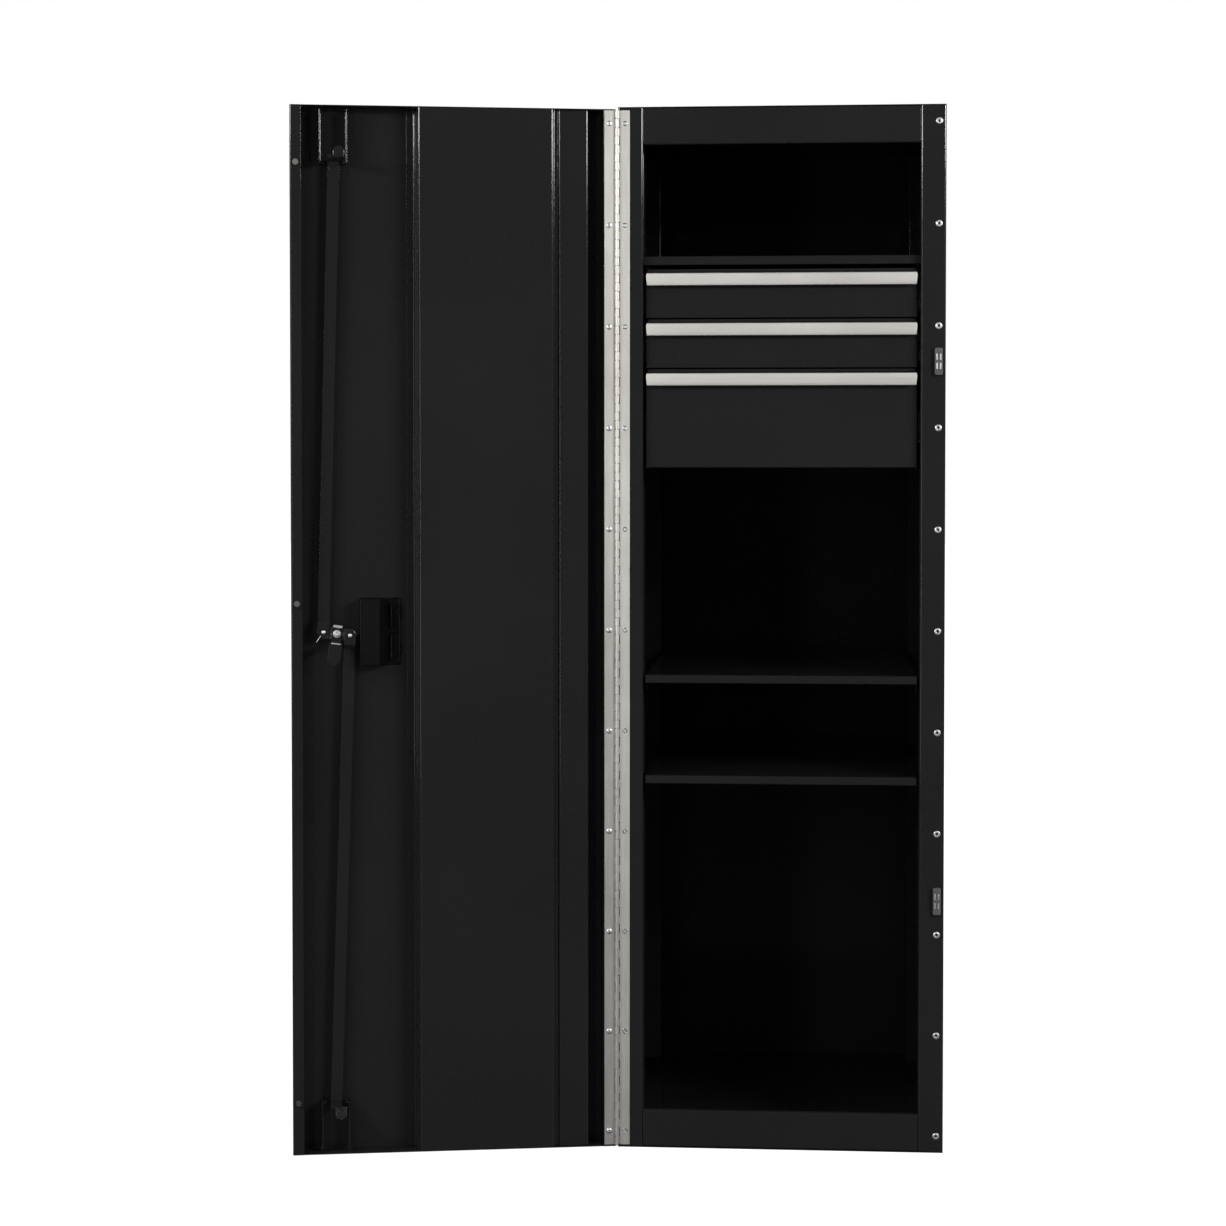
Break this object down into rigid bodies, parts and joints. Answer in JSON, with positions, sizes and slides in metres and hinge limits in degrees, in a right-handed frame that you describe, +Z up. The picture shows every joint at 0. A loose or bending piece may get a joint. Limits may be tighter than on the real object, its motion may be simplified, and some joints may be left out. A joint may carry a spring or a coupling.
{
  "type": "tool chest side locker",
  "caption": "Tall black sheet-steel side locker with a full-overlay door on a continuous hinge, drawers with full-width pulls, hook-in shelves and a rod latch with a T-handle.",
  "frame": {"origin": "middle of the cabinet's underside, under the middle of the body in width and depth", "axes": "+X to the right seen from the front, +Y from the front opening into the depth, +Z up"},
  "size_m": [0.9632, 0.7372, 1.549],
  "materials": {
    "black_coat": "semi-gloss black powder coat",
    "stainless": "brushed stainless steel",
    "zinc": "bright zinc plate",
    "aluminium": "satin anodised, drawn along its length",
    "black_plastic": "fine-grained black moulding",
    "grey_plastic": "grey moulding with steel pole strips",
    "rubber": "matt grey rubber",
    "chrome": "plated die casting"
  },
  "bodies": {
    "cabinet": {"hinge_side_wall": "black_coat", "latch_side_wall": "black_coat", "back_panel": "black_coat", "top_panel": "black_coat", "floor_panel": "black_coat", "header_rail": "black_coat", "sill_rail": "black_coat", "post_front_left": "black_coat", "post_rear_left": "black_coat", "post_front_right": "black_coat", "post_rear_right": "black_coat", "drawer_divider": "black_coat", "upper_shelf": "black_coat", "lower_shelf": "black_coat", "catch_upper": "grey_plastic", "catch_lower": "grey_plastic", "hinge_leaf_frame": "stainless", "hinge_pin": "stainless", "drawer_top_slide_left_fixed": "zinc", "drawer_top_slide_right_fixed": "zinc", "drawer_middle_slide_left_fixed": "zinc", "drawer_middle_slide_right_fixed": "zinc", "drawer_bottom_slide_left_fixed": "zinc", "drawer_bottom_slide_right_fixed": "zinc"},
    "door": {"door_skin": "black_coat", "door_inner_panel": "black_coat", "door_hinge_channel": "black_coat", "hinge_leaf_door": "stainless", "door_bumper_1": "rubber", "door_bumper_2": "rubber", "door_bumper_3": "rubber", "pull_cup": "black_plastic", "rod_guide_top": "black_coat", "rod_guide_bottom": "black_coat", "latch_escutcheon": "chrome"},
    "latch": {"latch_cam": "zinc", "latch_tongue": "black_coat", "latch_handle": "chrome", "latch_screw": "zinc"},
    "lock": {"lock_plug": "chrome"},
    "rod_upper": {"latch_rod_upper": "black_coat"},
    "rod_lower": {"latch_rod_lower": "black_coat"},
    "drawer_top": {"drawer_top_tray": "black_coat", "drawer_top_pull": "aluminium", "drawer_top_slide_left_inner": "zinc", "drawer_top_slide_right_inner": "zinc"},
    "drawer_top_runners": {"drawer_top_slide_left_middle": "zinc", "drawer_top_slide_right_middle": "zinc"},
    "drawer_middle": {"drawer_middle_tray": "black_coat", "drawer_middle_pull": "aluminium", "drawer_middle_slide_left_inner": "zinc", "drawer_middle_slide_right_inner": "zinc"},
    "drawer_middle_runners": {"drawer_middle_slide_left_middle": "zinc", "drawer_middle_slide_right_middle": "zinc"},
    "drawer_bottom": {"drawer_bottom_tray": "black_coat", "drawer_bottom_pull": "aluminium", "drawer_bottom_slide_left_inner": "zinc", "drawer_bottom_slide_right_inner": "zinc"},
    "drawer_bottom_runners": {"drawer_bottom_slide_left_middle": "zinc", "drawer_bottom_slide_right_middle": "zinc"}
  },
  "joints": [
    {"name": "door_hinge", "type": "hinge", "parent": "cabinet", "child": "door", "pos_m": [-0.2425, -0.3208, 0.7745], "axis": [0, 0, -1], "range_deg": [-169.2, 10.8]},
    {"name": "drawer_top_slide", "type": "slide", "parent": "cabinet", "child": "drawer_top", "axis": [0, -1, 0], "range_m": [0, 0.5]},
    {"name": "drawer_top_runner_slide", "type": "slide", "parent": "cabinet", "child": "drawer_top_runners", "axis": [0, -1, 0], "range_m": [0, 0.25]},
    {"name": "drawer_middle_slide", "type": "slide", "parent": "cabinet", "child": "drawer_middle", "axis": [0, -1, 0], "range_m": [0, 0.5]},
    {"name": "drawer_middle_runner_slide", "type": "slide", "parent": "cabinet", "child": "drawer_middle_runners", "axis": [0, -1, 0], "range_m": [0, 0.25]},
    {"name": "drawer_bottom_slide", "type": "slide", "parent": "cabinet", "child": "drawer_bottom", "axis": [0, -1, 0], "range_m": [0, 0.5]},
    {"name": "drawer_bottom_runner_slide", "type": "slide", "parent": "cabinet", "child": "drawer_bottom_runners", "axis": [0, -1, 0], "range_m": [0, 0.25]},
    {"name": "latch_turn", "type": "hinge", "parent": "door", "child": "latch", "pos_m": [-0.6534, -0.3778, 0.771], "axis": [-0.1874, 0.9823, 0], "range_deg": [-6, 84]},
    {"name": "upper_rod_pivot", "type": "hinge", "parent": "latch", "child": "rod_upper", "pos_m": [-0.67158, -0.38616, 0.77356], "axis": [0.1874, -0.9823, 0], "range_deg": [-6.32, 85.87]},
    {"name": "lower_rod_pivot", "type": "hinge", "parent": "latch", "child": "rod_lower", "pos_m": [-0.63341, -0.37888, 0.76844], "axis": [0.1874, -0.9823, 0], "range_deg": [-6.32, 85.85]},
    {"name": "lock_turn", "type": "hinge", "parent": "latch", "child": "lock", "pos_m": [-0.6607, -0.33949, 0.771], "axis": [-0.1874, 0.9823, 0], "range_deg": [0, 90]}
  ],
  "couplings": [
    {"joint": "drawer_top_runner_slide", "follows": "drawer_top_slide", "ratio": 0.5},
    {"joint": "drawer_middle_runner_slide", "follows": "drawer_middle_slide", "ratio": 0.5},
    {"joint": "drawer_bottom_runner_slide", "follows": "drawer_bottom_slide", "ratio": 0.5},
    {"joint": "upper_rod_pivot", "follows": "latch_turn", "ratio": 1.0198},
    {"joint": "lower_rod_pivot", "follows": "latch_turn", "ratio": 1.0196}
  ]
}
